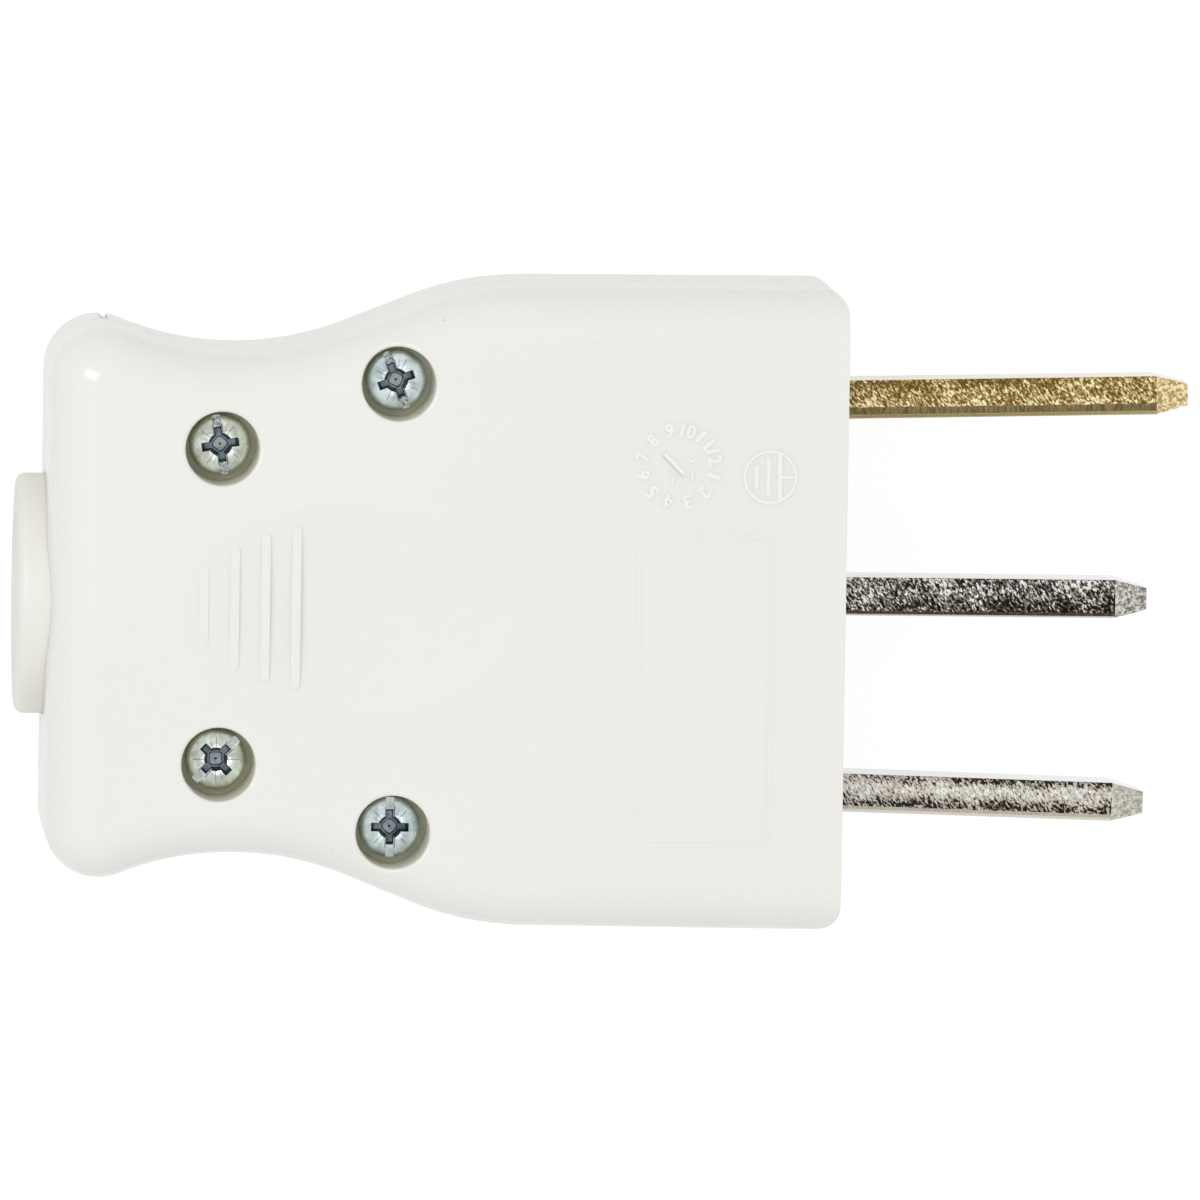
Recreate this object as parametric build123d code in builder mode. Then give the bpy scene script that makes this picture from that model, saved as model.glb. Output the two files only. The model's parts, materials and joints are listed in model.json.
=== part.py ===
# Rewirable cooker plug with three flat parallel blades.
# The plug lies on its underside: +X is the way the blades point, +Z is up, z = 0 is the underside.
# Sizes are millimetres and degrees. Places along the body are measured back from the front face.

import os
from math import cos, radians, sin, sqrt

from build123d import *

os.makedirs("parts", exist_ok=True)

# Housing outline. The flank runs through four corners, each rounded by its own radius,
# and each set in from the half width of the front face.
body_length = 79.2
front_half_width = 32.0
shoulder_back = 37.2
shoulder_inset = 0.2
shoulder_radius = 31.0
waist_back = 61.8
waist_inset = 10.1
waist_radius = 30.0
rear_inset = 1.3
rear_corner_radius = 5.4
front_corner_radius = 2.5

# Housing section: the lower shell reaches up to the parting plane, the upper one stands on it
base_height = 15.0
cover_height = 15.0
edge_radius = 5.0
wall = 2.6
front_wall = 4.0
seam_chamfer = 0.25
lip_width = 1.1
lip_height = 1.2
fit_clearance = 0.15

# Blades: three in a row, the outer two leaning a little outwards in their slots
pin_pitch = 19.7
pin_row_shift = 0.45
pin_splay = 1.45
pin_thickness = 3.9
pin_height = 6.6
pin_soft_radius = 0.9
pin_sheared_radius = 0.25
pin_tip_length = 3.2
pin_tip_thickness = 2.2
pin_tip_height = 5.0
pin_tip_radius_share = 0.45
line_pin_reach = 31.4
earth_pin_reach = 35.2
pin_clearance = 0.2

# Terminal block at the root of each blade, and what holds it
block_width = 9.0
block_length = 13.0
block_height = 8.6
block_chamfer = 0.5
bridge_back = 9.0
bridge_wall = 2.6
cradle_wall = 1.5
cradle_rear_wall = 1.8
cradle_sill = 3.0
partition_wall = 1.8
partition_length = 30.0
presser_wall = 1.8

# Terminal screw and its saddle washer
terminal_screw_diameter = 5.0
terminal_screw_length = 7.0
terminal_head_diameter = 8.0
terminal_head_height = 3.0
clamp_plate_size = 8.4
clamp_plate_thickness = 1.4
clamp_plate_corner_radius = 0.8
wire_groove_radius = 1.6
wire_groove_depth = 0.5
wire_groove_offset = 3.0
thread_clearance = 0.05

# Housing screws: a wide pair at the shoulders and a narrow pair at the waist
front_screw_back = 44.7
front_screw_inset = 9.7
rear_screw_back = 62.1
rear_screw_inset = 16.3
housing_screw_diameter = 4.0
housing_screw_length = 14.0
housing_head_diameter = 6.0
housing_head_height = 2.4
housing_head_sink = 5.9
housing_head_edge = 0.35
counterbore_diameter = 7.35
counterbore_rim = 0.3
housing_screw_clearance = 0.2
boss_diameter = 9.6
insert_diameter = 5.6
insert_length = 8.0
screw_tip_clearance = 1.0
insert_groove_width = 1.2
insert_groove_depth = 0.4
housing_screw_turns = (100.0, 110.0, 45.0, 90.0)

# Recess of the cross-head screws, with a slot right across the head
recess_span = 4.0
recess_width = 0.9
recess_depth = 1.2
recess_core = 1.6
slot_width = 0.9
slot_depth = 0.8

# Cord entry: a collar trapped between the shells, then a bar that clamps the cord
collar_diameter = 24.0
collar_reach = 2.9
collar_edge_radius = 1.0
collar_bore_diameter = 13.4
collar_bore_flare = 1.2
collar_neck_diameter = 19.0
collar_flange_diameter = 22.6
collar_flange_thickness = 2.0
collar_sink = 1.5
gland_lip = 2.0
gland_half_width = 15.0
cord_diameter = 12.4
clamp_back = 9.0
clamp_width = 6.0
clamp_half_length = 16.6
clamp_seat_drop = 1.0
clamp_bar_thickness = 3.4
clamp_bar_corner_radius = 1.2
clamp_screw_y = 12.8
clamp_screw_diameter = 3.5
clamp_screw_length = 12.0
clamp_head_diameter = 5.8
clamp_head_height = 2.2

# Grip on the cover: a shallow oval dish with ribs across its rear half
dish_back = 49.5
dish_half_length = 16.5
dish_half_width = 10.4
dish_depth = 0.8
rib_count = 4
rib_pitch = 3.05
rib_first_offset = 5.1
rib_width = 0.9
rib_end_margin = 1.9
rib_drop = 0.05

# Small mark of the mould: a tapered groove low on one flank
gate_back = 73.4
gate_foot_width = 0.9
gate_head_width = 0.25
gate_foot_z = 1.2
gate_drop = 1.2
gate_depth = 0.45

# Places that follow from the sizes above
parting_z = base_height
body_height = base_height + cover_height
overall_length = collar_reach + body_length + earth_pin_reach
front_x = overall_length / 2 - earth_pin_reach
rear_x = front_x - body_length
cavity_front_x = front_x - front_wall
pin_top_z = parting_z - fit_clearance
pin_centre_z = pin_top_z - pin_height / 2
block_bottom_z = pin_top_z - block_height
bridge_x = front_x - bridge_back
clamp_seat_z = parting_z - clamp_seat_drop
clamp_x = rear_x + clamp_back
gland_wall = collar_sink + gland_lip
head_top_z = body_height - housing_head_sink
head_seat_z = head_top_z - housing_head_height
screw_tip_depth = parting_z - head_seat_z + housing_screw_length
insert_hole_depth = max(insert_length, screw_tip_depth) + screw_tip_clearance
clamp_hole_depth = clamp_screw_length - clamp_bar_thickness + screw_tip_clearance
rear_screw_y = front_half_width - rear_screw_inset
front_screw_y = front_half_width - front_screw_inset
screw_places = [
    (front_x - rear_screw_back, rear_screw_y),
    (front_x - front_screw_back, front_screw_y),
    (front_x - rear_screw_back, -rear_screw_y),
    (front_x - front_screw_back, -front_screw_y),
]


def pin_plane(place):
    """Plane of one blade: origin at the front face, x along the blade. place is 1, 0 or -1."""
    lean = radians(place * pin_splay)
    return Plane(
        origin=(front_x, pin_row_shift + place * pin_pitch, 0),
        x_dir=(cos(lean), sin(lean), 0),
        z_dir=(0, 0, 1),
    )


pin_planes = [pin_plane(place) for place in (1, 0, -1)]
upward = (Align.CENTER, Align.CENTER, Align.MIN)
downward = (Align.CENTER, Align.CENTER, Align.MAX)
backward = (Align.MAX, Align.CENTER, Align.MIN)


def housing_block(inset, bottom_z, top_z, front_cut, front_radius=0.0):
    """Upright block of the housing's plan, moved inwards by inset and cut back at the front."""
    flank = [
        (front_x, front_half_width),
        (front_x - shoulder_back, front_half_width - shoulder_inset),
        (front_x - waist_back, front_half_width - waist_inset),
        (rear_x, front_half_width - rear_inset),
    ]
    with BuildPart() as block:
        with BuildSketch(Plane.XY.offset(bottom_z)):
            with BuildLine():
                Polyline(*flank, *[(x, -y) for x, y in reversed(flank)], close=True)
            make_face()
            if inset:
                offset(amount=-inset, kind=Kind.INTERSECTION)
            if front_cut > inset:
                with Locations((front_x - front_cut, 0)):
                    Rectangle(front_cut, 2 * front_half_width, align=(Align.MIN, Align.CENTER), mode=Mode.SUBTRACT)
        extrude(amount=top_z - bottom_z)
        if front_radius:
            fillet(block.edges().filter_by(Axis.Z).group_by(Axis.X)[-1], radius=front_radius)
        fillet(block.edges().filter_by(Axis.Z).group_by(Axis.X)[2], radius=shoulder_radius - inset)
        fillet(block.edges().filter_by(Axis.Z).group_by(Axis.X)[1], radius=waist_radius + inset)
        fillet(block.edges().filter_by(Axis.Z).group_by(Axis.X)[0], radius=rear_corner_radius - inset)
    return block.part


def long_rims(block, front_limit):
    """Top and bottom edges of a block, all but those of its front face."""
    return block.edges().filter_by(Axis.Z, reverse=True).filter_by(lambda edge: edge.center().X < front_limit)


sharp_block = housing_block(0, 0, body_height, 0)
rounded_block = housing_block(0, 0, body_height, 0, front_corner_radius)
cavity_block = housing_block(wall, wall, body_height - wall, front_wall)
lip_outer = housing_block(wall - lip_width, parting_z, parting_z + lip_height, front_wall - lip_width)
lip_inner = housing_block(wall, parting_z, parting_z + lip_height, front_wall)
groove_top_z = parting_z + lip_height + fit_clearance
groove_outer = housing_block(
    wall - lip_width - fit_clearance, parting_z, groove_top_z, front_wall - lip_width - fit_clearance
)
groove_inner = housing_block(wall + fit_clearance, parting_z, groove_top_z, front_wall + fit_clearance)

# Whole housing as one block: long edges rounded, front face flat with sharp rims
with BuildPart() as housing_form:
    add(sharp_block)
    fillet(long_rims(housing_form, front_x - front_corner_radius), radius=edge_radius)
    add(rounded_block, mode=Mode.INTERSECT)

# Hollow of both shells together
with BuildPart() as cavity_form:
    add(cavity_block)
    fillet(long_rims(cavity_form, cavity_front_x - front_corner_radius), radius=edge_radius - wall)

# Lip that stands on the base's rim
with BuildPart() as seam_lip:
    add(lip_outer)
    add(lip_inner, mode=Mode.SUBTRACT)

# Collar with a groove that the shells' rear walls grip
with BuildPart() as cord_collar:
    with BuildSketch(Plane.XZ) as collar_profile:
        with BuildLine():
            bore_r = collar_bore_diameter / 2
            neck_x = rear_x + collar_sink - fit_clearance
            flange_x = rear_x + gland_wall + fit_clearance
            Polyline(
                (rear_x - collar_reach, bore_r + collar_bore_flare),
                (rear_x - collar_reach, collar_diameter / 2),
                (neck_x, collar_diameter / 2),
                (neck_x, collar_neck_diameter / 2),
                (flange_x, collar_neck_diameter / 2),
                (flange_x, collar_flange_diameter / 2),
                (flange_x + collar_flange_thickness, collar_flange_diameter / 2),
                (flange_x + collar_flange_thickness, bore_r),
                (rear_x - collar_reach + collar_bore_flare, bore_r),
                close=True,
            )
        make_face()
        outer_corner = collar_profile.vertices().group_by(Axis.X)[0].sort_by(Axis.Y)[-1]
        fillet(outer_corner, radius=collar_edge_radius)
    revolve(axis=Axis.X)
    cord_collar.part.position = (0, 0, parting_z)

# Seat of the collar: what both shells lose for it
flange_back_x = rear_x + gland_wall + collar_flange_thickness + 2 * fit_clearance
with BuildPart() as collar_seat:
    with BuildSketch(Plane.XZ):
        with BuildLine():
            Polyline(
                (rear_x - collar_reach, 0),
                (rear_x - collar_reach, collar_diameter / 2 + fit_clearance),
                (rear_x + collar_sink, collar_diameter / 2 + fit_clearance),
                (rear_x + collar_sink, collar_neck_diameter / 2 + fit_clearance),
                (rear_x + gland_wall, collar_neck_diameter / 2 + fit_clearance),
                (rear_x + gland_wall, collar_flange_diameter / 2 + fit_clearance),
                (flange_back_x, collar_flange_diameter / 2 + fit_clearance),
                (flange_back_x, 0),
                close=True,
            )
        make_face()
    revolve(axis=Axis.X)
    collar_seat.part.position = (0, 0, parting_z)

# What stands inside the base: bosses, pin bridge, cradles, partitions, cord saddle, gland wall
saddle_height = clamp_seat_z - wall / 2
with BuildPart() as base_fittings:
    with Locations(*[(x, y, wall / 2) for x, y in screw_places]):
        Cylinder(boss_diameter / 2, parting_z - wall / 2, align=upward)
    with Locations((bridge_x, 0, wall / 2)):
        Box(bridge_wall, 2 * front_half_width, parting_z - wall / 2, align=(Align.MIN, Align.CENTER, Align.MIN))
    for plane in pin_planes:
        with Locations(plane):
            with Locations((-bridge_back, 0, wall / 2)):
                Box(
                    block_length + pin_clearance + cradle_rear_wall,
                    block_width + 2 * (pin_clearance + cradle_wall),
                    pin_top_z - wall / 2,
                    align=backward,
                )
    with Locations(*[(front_x, pin_row_shift + side * pin_pitch / 2, wall / 2) for side in (-1, 1)]):
        Box(partition_length, partition_wall, parting_z - wall / 2, align=backward)
    with Locations((clamp_x, 0, wall / 2)):
        Box(clamp_width, 2 * clamp_half_length, saddle_height, align=upward)
    with Locations((rear_x, 0, wall / 2)):
        Box(gland_wall, 2 * gland_half_width, parting_z - wall / 2, align=(Align.MIN, Align.CENTER, Align.MIN))
    for plane in pin_planes:
        with Locations(plane):
            with Locations((-bridge_back + pin_clearance, 0, block_bottom_z)):
                Box(
                    block_length + 2 * pin_clearance,
                    block_width + 2 * pin_clearance,
                    parting_z,
                    align=backward,
                    mode=Mode.SUBTRACT,
                )
            with Locations((-bridge_back - block_length, 0, pin_top_z - cradle_sill)):
                Box(2 * block_length, block_width + 2 * pin_clearance, parting_z, align=backward, mode=Mode.SUBTRACT)
    add(housing_form.part, mode=Mode.INTERSECT)

# Lower half of the housing
gate_line = Line((front_x - gate_back, 0, parting_z), (front_x - gate_back, front_half_width, parting_z))
gate_surface_y = housing_form.part.intersect(gate_line)[0].bounding_box().max.Y
with BuildPart() as base_shell:
    add(housing_form.part)
    split(bisect_by=Plane.XY.offset(parting_z), keep=Keep.BOTTOM)
    chamfer(base_shell.faces().sort_by(Axis.Z)[-1].edges(), length=seam_chamfer)
    add(cavity_form.part, mode=Mode.SUBTRACT)
    add(base_fittings.part)
    add(seam_lip.part)
    for plane in pin_planes:
        with Locations(plane):
            with Locations((0, 0, pin_top_z - pin_height)):
                Box(
                    2 * (bridge_back + pin_clearance),
                    pin_thickness + 2 * pin_clearance,
                    parting_z,
                    align=upward,
                    mode=Mode.SUBTRACT,
                )
    add(collar_seat.part, mode=Mode.SUBTRACT)
    with BuildSketch(Plane.XZ.offset(-gate_surface_y + gate_depth)):
        with Locations((front_x - gate_back, gate_foot_z)):
            Polygon(
                (-gate_foot_width / 2, 0),
                (gate_foot_width / 2, 0),
                (gate_head_width / 2, parting_z - gate_drop - gate_foot_z),
                (-gate_head_width / 2, parting_z - gate_drop - gate_foot_z),
                align=None,
            )
    extrude(amount=-edge_radius, mode=Mode.SUBTRACT)
    with Locations((clamp_x, 0, parting_z)):
        Cylinder(cord_diameter / 2, clamp_width, rotation=(0, 90, 0), mode=Mode.SUBTRACT)
    with Locations(*[(clamp_x, side * clamp_screw_y, clamp_seat_z) for side in (-1, 1)]):
        Hole(clamp_screw_diameter / 2 + thread_clearance, depth=clamp_hole_depth)
    with Locations(*[(x, y, parting_z) for x, y in screw_places]):
        Hole(insert_diameter / 2 + thread_clearance, depth=insert_hole_depth)
    with Locations(*[(x, y, parting_z + lip_height) for x, y in screw_places]):
        Cylinder(boss_diameter / 2 + fit_clearance, lip_height, align=downward, mode=Mode.SUBTRACT)

# What hangs inside the cover: bosses, presser wall over the blocks, partitions, gland wall
hang_height = body_height - wall / 2 - parting_z
with BuildPart() as cover_fittings:
    with Locations(*[(x, y, parting_z) for x, y in screw_places]):
        Cylinder(boss_diameter / 2, hang_height, align=upward)
    with Locations((bridge_x - pin_clearance, 0, parting_z)):
        Box(presser_wall, 2 * (pin_pitch + block_width / 2), hang_height, align=backward)
    with Locations(*[(front_x, pin_row_shift + side * pin_pitch / 2, parting_z + fit_clearance) for side in (-1, 1)]):
        Box(partition_length, partition_wall, hang_height - fit_clearance, align=backward)
    with Locations((rear_x, 0, parting_z)):
        Box(gland_wall, 2 * gland_half_width, hang_height, align=(Align.MIN, Align.CENTER, Align.MIN))
    add(housing_form.part, mode=Mode.INTERSECT)

# Tool that scoops the oval dish: an arc turned about an axis high above the cover
scoop_length_radius = (dish_half_length**2 + dish_depth**2) / (2 * dish_depth)
scoop_width_radius = (dish_half_width**2 + dish_depth**2) / (2 * dish_depth)
dish_x = front_x - dish_back
scoop_axis_z = body_height - dish_depth + scoop_width_radius
with BuildPart() as dish_scoop:
    with BuildSketch(Plane.XZ):
        with BuildLine():
            scoop_arc = ThreePointArc(
                (dish_x - dish_half_length, body_height),
                (dish_x, body_height - dish_depth),
                (dish_x + dish_half_length, body_height),
            )
            Polyline(
                scoop_arc @ 1,
                (dish_x + dish_half_length, scoop_axis_z),
                (dish_x - dish_half_length, scoop_axis_z),
                scoop_arc @ 0,
            )
        make_face()
    revolve(axis=Axis((0, 0, scoop_axis_z), (1, 0, 0)))

# Groove of the cover that takes the lip
with BuildPart() as groove_ring:
    add(groove_outer)
    add(groove_inner, mode=Mode.SUBTRACT)
    with Locations(*[(x, y, parting_z) for x, y in screw_places]):
        Cylinder(boss_diameter / 2, wall, align=upward, mode=Mode.SUBTRACT)

# Upper half of the housing
with BuildPart() as cover_shell:
    add(housing_form.part)
    split(bisect_by=Plane.XY.offset(parting_z), keep=Keep.TOP)
    chamfer(cover_shell.faces().sort_by(Axis.Z)[0].edges(), length=seam_chamfer)
    add(cavity_form.part, mode=Mode.SUBTRACT)
    add(cover_fittings.part)
    add(groove_ring.part, mode=Mode.SUBTRACT)
    add(collar_seat.part, mode=Mode.SUBTRACT)
    add(dish_scoop.part, mode=Mode.SUBTRACT)
    for rib in range(rib_count):
        rib_offset = rib_first_offset + rib * rib_pitch
        rib_reach = (dish_half_width - rib_end_margin) * sqrt(1 - (rib_offset / dish_half_length) ** 2)
        with BuildSketch(Plane.XY.offset(body_height - wall / 2)):
            with Locations((dish_x - rib_offset, 0)):
                SlotOverall(2 * rib_reach, rib_width, rotation=90)
        extrude(amount=wall / 2 - rib_drop)
    with Locations(*[(x, y, body_height) for x, y in screw_places]):
        CounterBoreHole(
            radius=housing_screw_diameter / 2 + housing_screw_clearance,
            counter_bore_radius=counterbore_diameter / 2,
            counter_bore_depth=body_height - head_seat_z,
        )
    top_face = cover_shell.faces().filter_by(Axis.Z).filter_by(lambda face: face.center().Z > body_height - 0.01)
    bore_rims = top_face.edges().filter_by(GeomType.CIRCLE).filter_by(
        lambda edge: abs(edge.radius - counterbore_diameter / 2) < 0.01
    )
    fillet(bore_rims, radius=counterbore_rim)


def draw_blade(section, thickness, height, radius_share):
    """Section of a stamped blade in a sketch: rounded along its -Y edges, nearly sharp along the others."""
    Rectangle(thickness, height)
    fillet(section.vertices().group_by(Axis.X)[0], radius=pin_soft_radius * radius_share)
    fillet(section.vertices().group_by(Axis.X)[-1], radius=pin_sheared_radius * radius_share)


def make_pin(label, plane, reach):
    """One blade with its terminal block, as a single piece."""
    with BuildPart(plane) as pin:
        section_plane = Plane(plane.from_local_coords((-bridge_back, 0, pin_centre_z)), plane.y_dir, plane.x_dir)
        with BuildSketch(section_plane) as root_section:
            draw_blade(root_section, pin_thickness, pin_height, 1)
        extrude(amount=bridge_back + reach - pin_tip_length)
        tip_start = section_plane.offset(bridge_back + reach - pin_tip_length)
        with BuildSketch(tip_start) as tip_root:
            draw_blade(tip_root, pin_thickness, pin_height, 1)
        with BuildSketch(tip_start.offset(pin_tip_length)) as tip_end:
            draw_blade(tip_end, pin_tip_thickness, pin_tip_height, pin_tip_radius_share)
        loft(ruled=True)
        with Locations((-bridge_back, 0, block_bottom_z)):
            Box(block_length, block_width, block_height, align=backward)
        block_rims = pin.faces().sort_by(Axis.Z)[0].edges()
        chamfer(block_rims, length=block_chamfer)
        with Locations((-bridge_back - block_length / 2, 0, pin_top_z)):
            Hole(terminal_screw_diameter / 2 + thread_clearance, depth=block_height)
    pin.part.label = label
    export_step(pin.part, f"parts/{label}.step")
    return pin.part


def make_clamp_plate(label, plane):
    """Square saddle washer with two grooves that hold the strands."""
    middle = (-bridge_back - block_length / 2, 0)
    with BuildPart(plane) as plate:
        with BuildSketch(plane.offset(pin_top_z)):
            with Locations(middle):
                RectangleRounded(clamp_plate_size, clamp_plate_size, clamp_plate_corner_radius)
                Circle(terminal_screw_diameter / 2 + fit_clearance, mode=Mode.SUBTRACT)
        extrude(amount=clamp_plate_thickness)
        groove_z = pin_top_z + wire_groove_depth - wire_groove_radius
        with Locations(*[(middle[0], side * wire_groove_offset, groove_z) for side in (-1, 1)]):
            Cylinder(wire_groove_radius, clamp_plate_size, rotation=(0, 90, 0), mode=Mode.SUBTRACT)
    plate.part.label = label
    export_step(plate.part, f"parts/{label}.step")
    return plate.part


def make_screw(label, seat, head_diameter, head_height, shank_diameter, length, head_edge):
    """Cross-head screw standing on the plane of its seat, shank down, slot along the plane's x."""
    with BuildPart(seat) as screw:
        Cylinder(head_diameter / 2, head_height, align=upward)
        fillet(screw.edges().sort_by(Axis.Z)[-1], radius=head_edge)
        Cylinder(shank_diameter / 2, length, align=downward)
        chamfer(screw.edges().sort_by(Axis.Z)[0], length=shank_diameter / 8)
        with BuildSketch(seat.offset(head_height)):
            Rectangle(head_diameter, slot_width)
        extrude(amount=-slot_depth, mode=Mode.SUBTRACT)
        with BuildSketch(seat.offset(head_height)):
            Rectangle(recess_span, recess_width)
            Rectangle(recess_width, recess_span)
            Rectangle(recess_core, recess_core, rotation=45)
        extrude(amount=-recess_depth, mode=Mode.SUBTRACT)
    screw.part.label = label
    export_step(screw.part, f"parts/{label}.step")
    return screw.part


def make_insert(label, x, y):
    """Threaded brass insert with a groove round its middle."""
    with BuildPart() as insert:
        with Locations((x, y, parting_z - fit_clearance)):
            Cylinder(insert_diameter / 2, insert_length, align=downward)
        with Locations((x, y, parting_z - fit_clearance - insert_length / 2)):
            Cylinder(insert_diameter / 2, insert_groove_width, mode=Mode.SUBTRACT)
            Cylinder(insert_diameter / 2 - insert_groove_depth, insert_groove_width)
        with Locations((x, y, parting_z - fit_clearance)):
            Hole(housing_screw_diameter / 2 + thread_clearance, depth=insert_length)
    insert.part.label = label
    export_step(insert.part, f"parts/{label}.step")
    return insert.part


# Bar that clamps the cord on its saddle
bar_arch_radius = cord_diameter / 2 + clamp_bar_thickness
with BuildPart() as cord_clamp_bar:
    with BuildSketch(Plane.YZ.offset(clamp_x)) as bar_profile:
        with Locations((0, clamp_seat_z)):
            Rectangle(2 * clamp_half_length, clamp_bar_thickness, align=(Align.CENTER, Align.MIN))
        with Locations((0, parting_z)):
            Circle(bar_arch_radius)
        with Locations((0, clamp_seat_z)):
            Rectangle(2 * clamp_half_length, 2 * bar_arch_radius, align=(Align.CENTER, Align.MAX), mode=Mode.SUBTRACT)
        with Locations((0, parting_z)):
            Circle(cord_diameter / 2, mode=Mode.SUBTRACT)
    extrude(amount=clamp_width / 2, both=True)
    bar_ends = cord_clamp_bar.edges().filter_by(Axis.Z).filter_by(
        lambda edge: abs(edge.center().Y) > clamp_half_length - clamp_bar_corner_radius
    )
    fillet(bar_ends, radius=clamp_bar_corner_radius)
    with Locations(*[(clamp_x, side * clamp_screw_y, clamp_seat_z + clamp_bar_thickness) for side in (-1, 1)]):
        Hole(clamp_screw_diameter / 2 + fit_clearance, depth=clamp_bar_thickness)

base_shell.part.label = "base_shell"
export_step(base_shell.part, "parts/base_shell.step")

cover_shell.part.label = "cover_shell"
export_step(cover_shell.part, "parts/cover_shell.step")

cord_collar.part.label = "cord_collar"
export_step(cord_collar.part, "parts/cord_collar.step")

cord_clamp_bar.part.label = "cord_clamp_bar"
export_step(cord_clamp_bar.part, "parts/cord_clamp_bar.step")

pin_names = ("earth_pin", "line_pin_centre", "line_pin_outer")
pin_reaches = (earth_pin_reach, line_pin_reach, line_pin_reach)
for name, plane, reach in zip(pin_names, pin_planes, pin_reaches):
    make_pin(name, plane, reach)

for name, plane in zip(("earth", "centre", "outer"), pin_planes):
    make_clamp_plate(f"{name}_clamp_plate", plane)
    seat_centre = plane.from_local_coords(
        (-bridge_back - block_length / 2, 0, pin_top_z + clamp_plate_thickness)
    )
    make_screw(
        f"{name}_terminal_screw",
        Plane(seat_centre, plane.y_dir, plane.z_dir),
        terminal_head_diameter,
        terminal_head_height,
        terminal_screw_diameter,
        terminal_screw_length,
        slot_depth,
    )

for number, ((x, y), turn) in enumerate(zip(screw_places, housing_screw_turns), start=1):
    make_screw(
        f"housing_screw_{number}",
        Plane((x, y, head_seat_z), (cos(radians(turn)), sin(radians(turn)), 0), (0, 0, 1)),
        housing_head_diameter,
        housing_head_height,
        housing_screw_diameter,
        housing_screw_length,
        housing_head_edge,
    )
    make_insert(f"screw_insert_{number}", x, y)

for side, name in ((1, "left"), (-1, "right")):
    make_screw(
        f"cord_clamp_screw_{name}",
        Plane((clamp_x, side * clamp_screw_y, clamp_seat_z + clamp_bar_thickness), (1, 0, 0), (0, 0, 1)),
        clamp_head_diameter,
        clamp_head_height,
        clamp_screw_diameter,
        clamp_screw_length,
        housing_head_edge,
    )
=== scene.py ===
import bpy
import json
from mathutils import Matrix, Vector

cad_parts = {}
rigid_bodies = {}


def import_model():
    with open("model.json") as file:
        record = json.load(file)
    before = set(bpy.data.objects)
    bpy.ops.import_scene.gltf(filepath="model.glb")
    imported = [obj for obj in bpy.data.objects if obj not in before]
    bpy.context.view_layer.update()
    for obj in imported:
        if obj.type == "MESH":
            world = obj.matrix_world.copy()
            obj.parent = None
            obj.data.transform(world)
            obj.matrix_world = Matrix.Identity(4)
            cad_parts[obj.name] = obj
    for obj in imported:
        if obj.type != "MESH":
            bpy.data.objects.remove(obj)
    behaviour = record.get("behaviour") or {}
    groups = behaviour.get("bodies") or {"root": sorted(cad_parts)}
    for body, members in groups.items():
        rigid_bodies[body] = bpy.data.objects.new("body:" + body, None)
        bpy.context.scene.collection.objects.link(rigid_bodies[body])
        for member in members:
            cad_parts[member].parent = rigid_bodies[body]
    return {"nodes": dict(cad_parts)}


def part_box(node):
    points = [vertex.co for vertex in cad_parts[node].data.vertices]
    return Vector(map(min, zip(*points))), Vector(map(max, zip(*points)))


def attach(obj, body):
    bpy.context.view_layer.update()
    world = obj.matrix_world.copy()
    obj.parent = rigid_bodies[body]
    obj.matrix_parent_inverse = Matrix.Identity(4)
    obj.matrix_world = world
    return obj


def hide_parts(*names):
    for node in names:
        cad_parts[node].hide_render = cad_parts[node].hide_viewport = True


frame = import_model()

"""Looks of a rewirable cooker plug: an off-white housing in two shells, three flat blades, sunk screws.

Every length here is written in millimetres and made metres by MM. The frame is the plug's own: it lies
on its underside, +X is the way the blades point and +Z is up, out of the cover.
"""

import json
import logging
import math
from dataclasses import dataclass, field
from enum import Enum

import bmesh
import bpy
from mathutils import Matrix, Vector

MM = 0.001
log = logging.getLogger("cooker_plug")

# Month dial: degrees from month to month, what month the ring's top is, and the figures' widths in
# millimetres; their boldness and bevel are shares of their height.
MONTH_TURN = -30.0
TOP_MONTH = 9.5
NARROW_FIGURE = 0.5
ONE_FIGURE = 0.95
TWO_FIGURES = 1.6
FIGURE_BOLDNESS = 0.025
FIGURE_BEVEL = 0.035

Pair = tuple[float, float]
Triple = tuple[float, float, float]
Colour = tuple[float, float, float]
Socket = bpy.types.NodeSocket


class Slot(Enum):
    """Slots of the record that the pieces made here belong to."""

    HOUSING = "housing_plastic"
    ZINC = "zinc_steel"


class Order(Enum):
    """Order in which a mapping works on a place, by Blender's names."""

    STRETCH_FIRST = "POINT"
    TURN_FIRST = "TEXTURE"


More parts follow.
